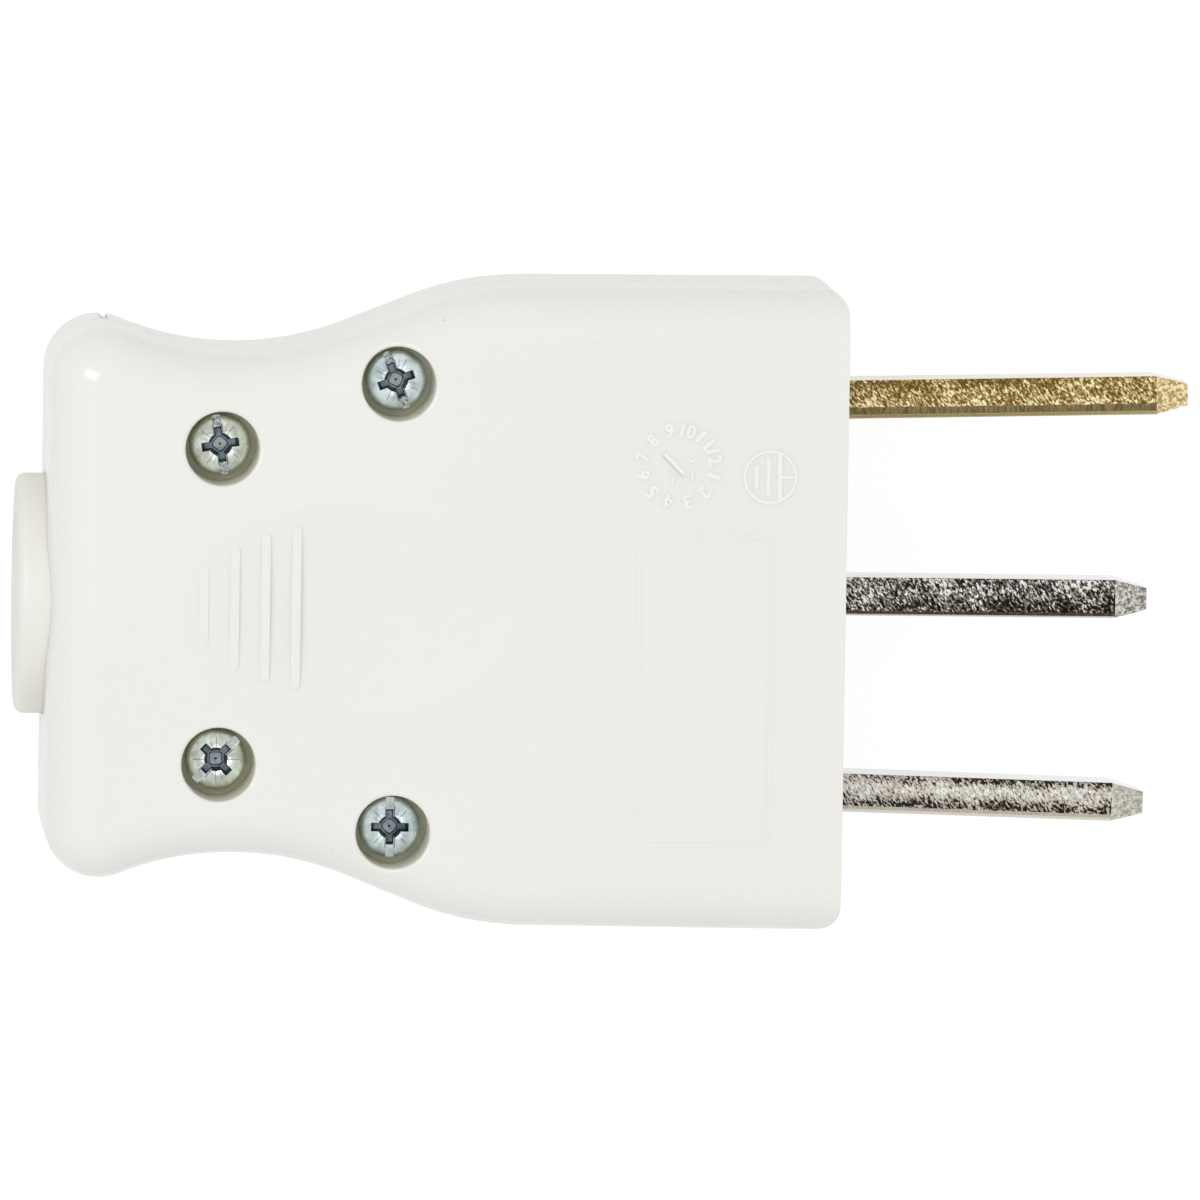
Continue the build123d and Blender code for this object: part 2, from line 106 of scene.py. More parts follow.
class Bench:
    """Node tree of one material while it is being put together."""

    def __init__(self, name: str) -> None:
        """Start a material with its shader and output.

        Args:
            name: Name of the material.
        """
        self.material = bpy.data.materials.new(name)
        self.material.use_nodes = True
        self.tree = self.material.node_tree
        self.tree.nodes.clear()
        output = self.node("OutputMaterial")
        self.shader = self.node("BsdfPrincipled")
        self.link(self.shader.outputs["BSDF"], output.inputs["Surface"])
        coordinates = self.node("TexCoord")
        self.place = coordinates.outputs["Object"]
        self.facing = coordinates.outputs["Normal"]

    def node(self, kind: str) -> bpy.types.Node:
        """New shader node, by what follows ShaderNode in Blender's name of it."""
        return self.tree.nodes.new(f"ShaderNode{kind}")

    def link(self, source: Socket, target: Socket) -> None:
        """Join one socket to another."""
        self.tree.links.new(source, target)

    def mapped(
        self, scale: Triple, turn: float, place: Socket | None = None, order: Order = Order.STRETCH_FIRST
    ) -> Socket:
        """Stretch and turn a place.

        Args:
            scale: How many times finer the pattern is along each axis; coarser, with TURN_FIRST.
            turn: Turn about the upright axis, in degrees.
            place: Socket with the place, if it isn't the object's own.
            order: Whether it is stretched or turned first.

        Returns:
            Socket with the new place.
        """
        mapping = self.node("Mapping")
        mapping.vector_type = order.value
        mapping.inputs["Scale"].default_value = scale
        mapping.inputs["Rotation"].default_value = (0.0, 0.0, math.radians(turn))
        self.link(place or self.place, mapping.inputs["Vector"])
        return mapping.outputs["Vector"]

    def along(self, root: Pair, lean: float) -> Socket:
        """Place measured from a blade's root, with x along the blade.

        Args:
            root: Where the blade leaves the front face, in millimetres.
            lean: How far the blade turns towards +Y, in degrees.

        Returns:
            Socket with the place, in metres.
        """
        turn = Matrix.Rotation(-math.radians(lean), 3, "Z")
        mapping = self.node("Mapping")
        mapping.inputs["Rotation"].default_value = (0.0, 0.0, -math.radians(lean))
        mapping.inputs["Location"].default_value = turn @ Vector((-root[0] * MM, -root[1] * MM, 0.0))
        self.link(self.place, mapping.inputs["Vector"])
        return mapping.outputs["Vector"]

    def part_of(self, vector: Socket, axis: str) -> Socket:
        """One coordinate of a vector.

        Args:
            vector: Socket with the vector.
            axis: X, Y or Z.

        Returns:
            Socket with the coordinate.
        """
        node = self.node("SeparateXYZ")
        self.link(vector, node.inputs["Vector"])
        return node.outputs[axis]

    def away_from(self, spot: Pair) -> Socket:
        """Distance from an upright line.

        Args:
            spot: Where the line stands, in millimetres.

        Returns:
            Socket with the distance, in metres.
        """
        flat = self.node("VectorMath")
        flat.operation = "MULTIPLY"
        flat.inputs[1].default_value = (1.0, 1.0, 0.0)
        self.link(self.place, flat.inputs[0])
        gap = self.node("VectorMath")
        gap.operation = "DISTANCE"
        gap.inputs[1].default_value = (spot[0] * MM, spot[1] * MM, 0.0)
        self.link(flat.outputs["Vector"], gap.inputs[0])
        return gap.outputs["Value"]

    def math(self, kind: str, first: Socket, second: float | Socket = 0.0) -> Socket:
        """Work out one value from one or two others.

        Args:
            kind: Blender's name of the operation.
            first: Socket with the first value.
            second: The second value, or a socket with it.

        Returns:
            Socket with the result.
        """
        node = self.node("Math")
        node.operation = kind
        self.link(first, node.inputs[0])
        if isinstance(second, float):
            node.inputs[1].default_value = second
        else:
            self.link(second, node.inputs[1])
        return node.outputs["Value"]

    def ramp(self, source: Socket, stops: tuple[tuple[float, Colour], ...]) -> Socket:
        """Colours that follow a value.

        Args:
            source: Socket with the value.
            stops: Values and their colours, lowest first.

        Returns:
            Socket with the colour.
        """
        node = self.node("ValToRGB")
        marks = node.color_ramp.elements
        marks.remove(marks[1])
        marks[0].position = stops[0][0]
        marks[0].color = (*stops[0][1], 1.0)
        for level, colour in stops[1:]:
            marks.new(level).color = (*colour, 1.0)
        self.link(source, node.inputs["Fac"])
        return node.outputs["Color"]

    def noise(
        self, size: float, detail: float, rough: float = 0.5, place: Socket | None = None, swirl: float = 0.0
    ) -> Socket:
        """Cloudy pattern whose patches are about size millimetres across.

        Args:
            size: Rough size of one patch, in millimetres.
            detail: How many finer layers it has.
            rough: How strong the finer layers are.
            place: Socket with the place, if it isn't the object's own.
            swirl: How much the patches curl.

        Returns:
            Socket with a value from 0 to 1.
        """
        noise = self.node("TexNoise")
        noise.inputs["Scale"].default_value = 1.0 / (size * MM)
        noise.inputs["Detail"].default_value = detail
        noise.inputs["Roughness"].default_value = rough
        noise.inputs["Distortion"].default_value = swirl
        self.link(place or self.place, noise.inputs["Vector"])
        return noise.outputs["Fac"]

    def band(
        self, source: Socket, low: float, high: float, to_low: float = 0.0, to_high: float = 1.0
    ) -> Socket:
        """Move values between low and high to the range from to_low to to_high, and hold them there.

        Args:
            source: Socket with the value.
            low: Value that becomes to_low.
            high: Value that becomes to_high.
            to_low: One end of the result.
            to_high: The other end of the result.

        Returns:
            Socket with the moved value.
        """
        node = self.node("MapRange")
        for name, value in (("From Min", low), ("From Max", high), ("To Min", to_low), ("To Max", to_high)):
            node.inputs[name].default_value = value
        self.link(source, node.inputs["Value"])
        return node.outputs["Result"]

    def fade(self, source: Socket, span: Pair, to_low: float = 0.0, to_high: float = 1.0) -> Socket:
        """Band of a length whose two ends are in millimetres."""
        return self.band(source, span[0] * MM, span[1] * MM, to_low, to_high)

    def blend(self, amount: Socket, first: Colour | Socket, second: Colour | Socket) -> Socket:
        """Mix two colours.

        Args:
            amount: Socket that says how much of the second colour shows.
            first: Colour, or socket with one.
            second: The other colour, or socket with it.

        Returns:
            Socket with the mixed colour.
        """
        node = self.node("Mix")
        node.data_type = "RGBA"
        self.link(amount, node.inputs["Factor"])
        for name, colour in (("A", first), ("B", second)):
            if isinstance(colour, tuple):
                node.inputs[name].default_value = (*colour, 1.0)
            else:
                self.link(colour, node.inputs[name])
        return node.outputs["Result"]

    def bump(self, height: Socket, depth: float) -> Socket:
        """Turn a height into a bumpy surface.

        Args:
            height: Socket with the height, from 0 to 1.
            depth: Depth of the bumps, in millimetres.

        Returns:
            Socket with the normal.
        """
        node = self.node("Bump")
        node.inputs["Strength"].default_value = 1.0
        node.inputs["Distance"].default_value = depth * MM
        self.link(height, node.inputs["Height"])
        return node.outputs["Normal"]

    def finish(
        self, colour: Socket, rough: Socket, normal: Socket, metallic: float = 0.0
    ) -> bpy.types.Material:
        """Join colour, roughness and normal to the shader.

        Args:
            colour: Socket with the base colour.
            rough: Socket with the roughness.
            normal: Socket with the normal.
            metallic: 1 for bare metal, 0 for plastic.

        Returns:
            The material.
        """
        self.link(colour, self.shader.inputs["Base Color"])
        self.link(rough, self.shader.inputs["Roughness"])
        self.link(normal, self.shader.inputs["Normal"])
        self.shader.inputs["Metallic"].default_value = metallic
        return self.material


@dataclass(frozen=True)
class MouldedPlastic:
    """Off-white thermoset, pressed in a polished mould: cloudy by a shade, with a faint orange peel."""

    name: str
    light: Colour
    dull: Colour
    roughness: Pair = (0.24, 0.28)
    peel: float = 0.0008
    specks: float = 0.0
    speck_colour: Colour = (0.32, 0.27, 0.2)
    depth: float = 0.0
    holes: tuple[Pair, ...] = ()
    # Painted shade: a warmer, slightly darker colour down the walls of the screw holes.
    hole_tint: Colour = (0.87, 0.855, 0.7)
    hole_wall_fade: Pair = (3.9, 4.0)
    hole_mouth_fade: Pair = (29.9, 26.0)
    hole_foot_fade: Pair = (20.0, 20.5)
    gate: Pair | None = None
    # Painted shadow in the notch of the moulding gate.
    gate_colour: Colour = (0.3, 0.3, 0.26)
    gate_side_fade: Pair = (0.3, 0.5)
    gate_top_fade: Pair = (13.6, 13.9)
    gate_strength: float = 0.8
    wall_roughness: float = 0.16

    def in_holes(self, bench: Bench) -> Socket:
        """How deep a spot is inside a screw hole, which sets the painted shade on its walls: 0 on the
        outside and at its foot, 1 from 4 mm down.

        Args:
            bench: Node tree that the finish is made in.

        Returns:
            Socket with the value.
        """
        near = None
        for x, y in self.holes:
            gap = bench.away_from((x, y))
            near = gap if near is None else bench.math("MINIMUM", near, gap)
        inside = bench.fade(near, self.hole_wall_fade, 1.0, 0.0)
        height = bench.part_of(bench.place, "Z")
        deep = bench.fade(height, self.hole_mouth_fade)
        inside = bench.math("MULTIPLY", inside, bench.fade(height, self.hole_foot_fade))
        return bench.math("MULTIPLY", inside, deep)

    def material(self) -> bpy.types.Material:
        """Make the plastic's material.

        Returns:
            The material.
        """
        bench = Bench(self.name)
        clouds = bench.band(bench.noise(34.0, 2.0), 0.2, 0.8)
        colour = bench.blend(clouds, self.light, self.dull)
        # Painted shade on the screw holes' walls, where less light gets in.
        if self.holes:
            colour = bench.blend(self.in_holes(bench), colour, self.hole_tint)
        # Painted shadow: a dark spot in the notch of the moulding gate.
        if self.gate:
            near = bench.fade(bench.away_from(self.gate), self.gate_side_fade, 1.0, 0.0)
            height = bench.part_of(bench.place, "Z")
            low = bench.fade(height, self.gate_top_fade, self.gate_strength, 0.0)
            colour = bench.blend(bench.math("MULTIPLY", near, low), colour, self.gate_colour)
        if self.specks:
            grains = bench.band(bench.noise(0.5, 1.0), 0.78, 0.84, 0.0, self.specks)
            colour = bench.blend(grains, colour, self.speck_colour)
        rough = bench.band(bench.noise(9.0, 2.0), 0.1, 0.9, *self.roughness)
        upright = bench.math("ABSOLUTE", bench.part_of(bench.facing, "Z"))
        rough = bench.math("ADD", rough, bench.band(upright, 0.1, 0.3, self.wall_roughness, 0.0))
        normal = bench.bump(bench.noise(2.4, 1.0), self.peel)
        if self.depth:
            bench.shader.inputs["Subsurface Weight"].default_value = self.depth
            bench.shader.inputs["Subsurface Radius"].default_value = (1.0, 0.85, 0.6)
            bench.shader.inputs["Subsurface Scale"].default_value = 1.6 * MM
        return bench.finish(colour, rough, normal)


@dataclass(frozen=True)
class ZincPlate:
    """Zinc-plated steel with a faint green-grey passivation and tiny drawing marks."""

    name: str
    light: Colour
    dull: Colour
    roughness: Pair = (0.24, 0.42)
    size: float = 1.3

    def material(self) -> bpy.types.Material:
        """Make the plated steel's material.

        Returns:
            The material.
        """
        bench = Bench(self.name)
        patches = bench.band(bench.noise(self.size, 5.0, 0.6), 0.36, 0.64)
        colour = bench.blend(patches, self.light, self.dull)
        rough = bench.band(bench.noise(0.5, 4.0), 0.3, 0.7, *self.roughness)
        normal = bench.bump(bench.noise(0.22, 3.0), 0.008)
        return bench.finish(colour, rough, normal, metallic=1.0)


@dataclass(frozen=True)
class TurnedBrass:
    """Turned brass with fine rings and a few dull spots."""

    name: str
    light: Colour
    dull: Colour

    def material(self) -> bpy.types.Material:
        """Make the turned brass's material.

        Returns:
            The material.
        """
        bench = Bench(self.name)
        rings = bench.noise(0.25, 2.0, 0.5, bench.mapped((0.1, 0.1, 1.0), 0.0))
        colour = bench.blend(bench.band(rings, 0.35, 0.65), self.light, self.dull)
        rough = bench.band(bench.noise(0.9, 3.0), 0.3, 0.7, 0.22, 0.4)
        return bench.finish(colour, rough, bench.bump(rings, 0.006), metallic=1.0)


@dataclass(frozen=True)
class StampedBlade:
    """Stamped blade: dimpled narrow faces coloured from painted shade in the pits to painted glints on the
    crests, planished sides, one rolled edge.

    Shades are how much lighter the dimples get at the blade's root and at its tip, by more painted glints
    and less painted shade.
    """

    name: str
    dimples: tuple[Colour, Colour, Colour, Colour, Colour]
    tip: tuple[Colour, Colour]
    side: Colour
    rolled: tuple[Colour, Colour]
    rim: Colour
    root: Pair
    lean: float
    reach: float
    size: float = 0.21
    slant: float = -54.0
    drawn_out: Triple = (1.9, 1.0, 1.0)
    shift: float = 0.0
    roll: float = -0.68
    roll_fade: float = 0.18
    rim_line: float = -1.46
    rim_fade: float = 0.06
    middle: Pair = (0.0, 0.0)
    upper: Pair = (0.0, 0.0)
    upper_fade: Pair = (0.9, 1.7)
    lower: Pair = (0.0, 0.0)
    lower_fade: Pair = (0.3, -0.8)
    stops: tuple[float, ...] = (0.36, 0.44, 0.5, 0.56, 0.64)

    def shade(self, bench: Bench, along: Socket, across: Socket, places: Pair, ends: Pair) -> Socket:
        """Shade that sets in between two places across the blade and changes from root to tip.

        Args:
            bench: Node tree that the finish is made in.
            along: Socket with the place along the blade.
            across: Socket with the place across the blade.
            places: Where it sets in and where it is full, in millimetres from the middle.
            ends: The shade at the root and at the tip.

        Returns:
            Socket with the shade.
        """
        here = bench.fade(across, places)
        return bench.math("MULTIPLY", here, bench.fade(along, (0.0, self.reach), *ends))

    def level(self, bench: Bench, local: Socket, along: Socket, across: Socket) -> Socket:
        """Level of the dimples, drawn out along slanted lines: low in the pits, painted in shade, and high
        on the crests, painted as glints.

        Args:
            bench: Node tree that the finish is made in.
            local: Socket with the place measured from the blade's root.
            along: Socket with the place along the blade.
            across: Socket with the place across the blade.

        Returns:
            Socket with the level.
        """
        slanted = bench.mapped(self.drawn_out, self.slant, local, Order.TURN_FIRST)
        level = bench.noise(self.size, 1.6, 0.55, slanted, swirl=0.5)
        patches = bench.noise(2.6, 2.0, 0.5, local)
        for shade in (
            bench.band(patches, 0.3, 0.7, self.shift - 0.05, self.shift + 0.05),
            bench.fade(along, (0.0, self.reach), *self.middle),
            self.shade(bench, along, across, self.upper_fade, self.upper),
            self.shade(bench, along, across, self.lower_fade, self.lower),
        ):
            level = bench.math("ADD", level, shade)
        return level

    def material(self) -> bpy.types.Material:
        """Make the blade's material.

        Returns:
            The material.
        """
        bench = Bench(self.name)
        local = bench.along(self.root, self.lean)
        along, across = bench.part_of(local, "X"), bench.part_of(local, "Y")
        level = self.level(bench, local, along, across)
        # Colour from the level: painted shade in the pits, painted glints on the crests.
        colour = bench.ramp(level, tuple(zip(self.stops, self.dimples)))
        # The rolled edge has lines along it and a ragged upper end, and is coloured darker on two blades as
        # painted shade where it turns away from the light.
        lines = bench.noise(0.24, 3.0, 0.7, bench.mapped((2.0, 0.25, 0.25), -self.lean))
        rolled = bench.blend(bench.band(lines, 0.4, 0.6), *self.rolled)
        in_roll = bench.fade(across, (self.roll, self.roll - self.roll_fade))
        ragged = bench.band(bench.noise(0.9, 2.0, 0.5, local), 0.3, 0.7, -0.35, 0.35)
        in_roll = bench.band(bench.math("ADD", in_roll, ragged), 0.4, 0.6)
        colour = bench.blend(in_roll, colour, rolled)
        on_rim = bench.fade(across, (self.rim_line, self.rim_line - self.rim_fade))
        colour = bench.blend(on_rim, colour, self.rim)
        # The tip is cracked and its slanted facets get lighter colours, a painted highlight; the upright
        # sides are smooth.
        forward = bench.part_of(bench.facing, "X")
        cracks = bench.band(bench.noise(0.34, 2.0, 0.6, local), 0.4, 0.6)
        cracked = bench.blend(cracks, *self.tip)
        colour = bench.blend(bench.band(forward, 0.12, 0.2), colour, cracked)
        upright = bench.math("ABSOLUTE", bench.part_of(bench.facing, "Z"))
        flat_side = bench.band(upright, 0.32, 0.18)
        colour = bench.blend(flat_side, colour, self.side)
        rough = bench.band(flat_side, 0.0, 1.0, 0.3, 0.14)
        normal = bench.bump(bench.math("MULTIPLY", level, bench.band(flat_side, 0.0, 1.0, 1.0, 0.1)), 0.08)
        return bench.finish(colour, rough, normal, metallic=1.0)


@dataclass(frozen=True)
class Palette:
    """The plug's finishes."""

    housing: MouldedPlastic = MouldedPlastic(
        "housing_moulding",
        (0.866, 0.858, 0.822),
        (0.846, 0.838, 0.798),
        (0.14, 0.18),
        specks=0.35,
        depth=0.25,
        holes=((-38.65, 15.7), (-21.25, 22.3), (-38.65, -15.7), (-21.25, -22.3)),
        gate=(-49.95, 27.5),
    )
    # The raised marks are painted lighter than the housing: a painted highlight on their strokes.
    marks: MouldedPlastic = MouldedPlastic("raised_marks", (0.9, 0.892, 0.858), (0.89, 0.882, 0.846))
    # Darker brownish strip beside the dial's arrow bar: a painted shadow.
    stain: MouldedPlastic = MouldedPlastic("dial_stain", (0.74, 0.69, 0.58), (0.68, 0.62, 0.52), (0.4, 0.5))
    collar: MouldedPlastic = MouldedPlastic(
        "collar_moulding", (0.85, 0.84, 0.79), (0.83, 0.82, 0.765), (0.34, 0.42), 0.0015
    )
    clamp: MouldedPlastic = MouldedPlastic(
        "clamp_moulding", (0.79, 0.78, 0.73), (0.77, 0.76, 0.7), (0.34, 0.42), 0.0015
    )
    zinc: ZincPlate = ZincPlate("zinc_plate", (0.72, 0.76, 0.69), (0.43, 0.46, 0.4))
    blue_zinc: ZincPlate = ZincPlate("zinc_plate_bluish", (0.68, 0.79, 0.8), (0.4, 0.48, 0.49))
    # Dark colours for the screws' recess and its pit: painted shade.
    recess: ZincPlate = ZincPlate("zinc_recess", (0.2, 0.25, 0.28), (0.09, 0.12, 0.14), (0.3, 0.5))
    pit: ZincPlate = ZincPlate("zinc_pit", (0.32, 0.37, 0.39), (0.2, 0.24, 0.26), (0.3, 0.5))
    # Very bright finish on the pressed edge round the screws' core: a painted glint.
    edge: ZincPlate = ZincPlate("zinc_pressed_edge", (0.97, 0.97, 0.94), (0.78, 0.8, 0.76), (0.12, 0.2))
    slot: ZincPlate = ZincPlate("zinc_slot", (0.62, 0.67, 0.66), (0.38, 0.43, 0.42), (0.2, 0.3))
    scraped: ZincPlate = ZincPlate("zinc_slot_scraped", (0.62, 0.66, 0.66), (0.07, 0.085, 0.09), size=0.3)
    brass: StampedBlade = StampedBlade(
        "stamped_brass",
        ((0.127, 0.075, 0.018), (0.205, 0.135, 0.042), (0.335, 0.24, 0.09))
        + ((0.54, 0.42, 0.19), (0.93, 0.8, 0.5)),
        ((0.42, 0.29, 0.11), (0.95, 0.8, 0.5)),
        (0.52, 0.46, 0.32),
        ((0.11, 0.085, 0.035), (0.25, 0.2, 0.1)),
        (0.42, 0.32, 0.15),
        (23.45, 20.15),
        1.45,
        35.2,
        shift=-0.01,
        middle=(-0.01, 0.0),
        upper=(-0.04, -0.03),
        lower=(0.05, 0.03),
    )
    nickel_centre: StampedBlade = StampedBlade(
        "stamped_nickel_dark",
        ((0.011, 0.008, 0.007), (0.045, 0.036, 0.03), (0.16, 0.14, 0.118))
        + ((0.36, 0.335, 0.29), (0.8, 0.79, 0.75)),
        ((0.2, 0.18, 0.15), (0.68, 0.67, 0.63)),
        (0.55, 0.55, 0.56),
        ((0.03, 0.023, 0.018), (0.12, 0.1, 0.085)),
        (0.62, 0.6, 0.55),
        (23.45, 0.45),
        0.0,
        31.4,
        shift=0.02,
        roll=-1.3,
        rim_line=-1.7,
        middle=(-0.01, -0.04),
        upper=(0.02, 0.04),
        lower=(-0.03, -0.12),
    )
    nickel_outer: StampedBlade = StampedBlade(
        "stamped_nickel_pale",
        ((0.022, 0.016, 0.012), (0.11, 0.09, 0.07), (0.42, 0.385, 0.33))
        + ((0.52, 0.485, 0.425), (0.78, 0.76, 0.71)),
        ((0.36, 0.34, 0.28), (0.66, 0.65, 0.58)),
        (0.55, 0.55, 0.57),
        ((0.4, 0.37, 0.31), (0.52, 0.48, 0.41)),
        (0.62, 0.58, 0.5),
        (23.45, -19.25),
        -1.45,
        31.4,
        shift=0.1,
        roll=-1.15,
        rim_line=-1.55,
        upper=(-0.08, -0.24),
        lower=(-0.19, -0.23),
        stops=(0.38, 0.43, 0.48, 0.58, 0.72),
    )
    turned_brass: TurnedBrass = TurnedBrass("turned_brass", (0.66, 0.52, 0.25), (0.52, 0.4, 0.18))


def linked(name: str, data: bpy.types.ID) -> bpy.types.Object:
    """Make an object and put it in the scene.

    Args:
        name: Name of the object.
        data: Its mesh, curve, lamp or camera.

    Returns:
        The new object.
    """
    thing = bpy.data.objects.new(name, data)
    bpy.context.scene.collection.objects.link(thing)
    return thing


def to_scene(
    name: str, mesh: bpy.types.Mesh, slot: Slot, *materials: bpy.types.Material
) -> bpy.types.Object:
    """Put a finished mesh in the scene, riding on the plug's one body.

    Args:
        name: Name of the piece.
        mesh: Its mesh, already in place.
        slot: Slot of the record that the finish belongs to; not used.
        materials: Materials in the order of the mesh's material numbers.

    Returns:
        The new object.
    """
    piece = linked(name, mesh)
    for material in materials:
        mesh.materials.append(material)
    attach(piece, "root")
    log.info("piece %s: %d faces", name, len(mesh.polygons))
    return piece


def as_mesh(name: str, form: bmesh.types.BMesh) -> bpy.types.Mesh:
    """Close a bmesh into a mesh with flat shading.

    Args:
        name: Name of the mesh.
        form: The bmesh, which is freed.

    Returns:
        The mesh.
    """
    bmesh.ops.recalc_face_normals(form, faces=form.faces)
    for face in form.faces:
        face.smooth = False
    mesh = bpy.data.meshes.new(name)
    form.to_mesh(mesh)
    form.free()
    return mesh


def block(form: bmesh.types.BMesh, size: Triple, place: Matrix) -> list[bmesh.types.BMVert]:
    """Add a block to a bmesh.

    Args:
        form: The bmesh.
        size: Lengths of the block's sides, in millimetres.
        place: Where the block goes, in metres.

    Returns:
        The block's corners.
    """
    scale = Matrix.Diagonal((*[length * MM for length in size], 1.0))
    return bmesh.ops.create_cube(form, size=1.0, matrix=place @ scale)["verts"]


def rounded(
    form: bmesh.types.BMesh, edges: list[bmesh.types.BMEdge], width: float, segments: int = 3
) -> None:
    """Round edges of a bmesh.

    Args:
        form: The bmesh.
        edges: The edges.
        width: How wide each gets, in millimetres.
        segments: How many faces make up its rounding.
    """
    bmesh.ops.bevel(
        form, geom=edges, offset=width * MM, affect="EDGES", segments=segments, profile=0.5, material=-1
    )


def spun(form: bmesh.types.BMesh, profile: list[Pair], place: Matrix, closed: bool = False) -> None:
    """Turn a profile right round an upright axis.

    Args:
        form: The bmesh.
        profile: Radius and height of each point, in millimetres.
        place: Where the axis stands, in metres.
        closed: Whether the last point is joined to the first.
    """
    points = [form.verts.new(place @ Vector((r * MM, 0.0, z * MM))) for r, z in profile]
    line = [form.edges.new(pair) for pair in zip(points, points[1:])]
    if closed:
        line.append(form.edges.new((points[-1], points[0])))
    centre, full = place.translation, 2 * math.pi
    bmesh.ops.spin(
        form, geom=points + line, cent=centre, axis=(0.0, 0.0, 1.0), angle=full, steps=64, use_merge=True
    )


def stroke(form: bmesh.types.BMesh, size: Triple, place: Matrix, edge: float = 0.11) -> None:
    """Add a raised bar with rounded upper edges to a bmesh.

    Args:
        form: The bmesh.
        size: Lengths of the bar's sides, in millimetres.
        place: Where the bar goes, in metres.
        edge: How wide its rounded edges are, in millimetres.
    """
    corners = block(form, size, place)
    high = sorted(corners, key=lambda corner: corner.co.z)[4:]
    rounded(form, [e for e in form.edges if e.verts[0] in high and e.verts[1] in high], edge)


def at(x: float, y: float, z: float, turn: float = 0.0) -> Matrix:
    """Matrix of a place in millimetres, turned about the upright axis by turn degrees."""
    return Matrix.Translation(Vector((x, y, z)) * MM) @ Matrix.Rotation(math.radians(turn), 4, "Z")


def lettering(text: str, height: float, width: float, stand: float, place: Matrix) -> bpy.types.Mesh:
    """Raised figures as a mesh.

    Args:
        text: The figures.
        height: Their height, in millimetres.
        width: Their width all together, in millimetres.
        stand: How far they stand up, in millimetres.
        place: Where their middle goes, in metres.

    Returns:
        The mesh, in place.
    """
    curve = bpy.data.curves.new(f"figures_{text}", "FONT")
    curve.body = text
    curve.size = 1.0
    curve.align_x = "CENTER"
    curve.resolution_u = 3
    curve.offset = FIGURE_BOLDNESS
    curve.bevel_depth = FIGURE_BEVEL
    curve.bevel_resolution = 2
    holder = linked(curve.name, curve)
    bpy.context.view_layer.update()
    mesh = bpy.data.meshes.new_from_object(holder.evaluated_get(bpy.context.evaluated_depsgraph_get()))
    bpy.data.objects.remove(holder)
    bpy.data.curves.remove(curve)
    xs = [v.co.x for v in mesh.vertices]
    ys = [v.co.y for v in mesh.vertices]
    middle = Vector(((min(xs) + max(xs)) / 2, (min(ys) + max(ys)) / 2, 0.0))
    thick = 2 * FIGURE_BEVEL
    scale = Matrix.Diagonal(
        (width * MM / (max(xs) - min(xs)), height * MM / (max(ys) - min(ys)), stand * MM / thick, 1.0)
    )
    mesh.transform(place @ scale @ Matrix.Translation(-middle))
    return mesh


def joined(name: str, parts: list[bpy.types.Mesh]) -> bpy.types.Mesh:
    """Put several meshes in one.

    Args:
        name: Name of the new mesh.
        parts: The meshes, which are removed.

    Returns:
        The new mesh.
    """
    form = bmesh.new()
    for part in parts:
        form.from_mesh(part)
        bpy.data.meshes.remove(part)
    bmesh.ops.remove_doubles(form, verts=form.verts, dist=0.002 * MM)
    return as_mesh(name, form)


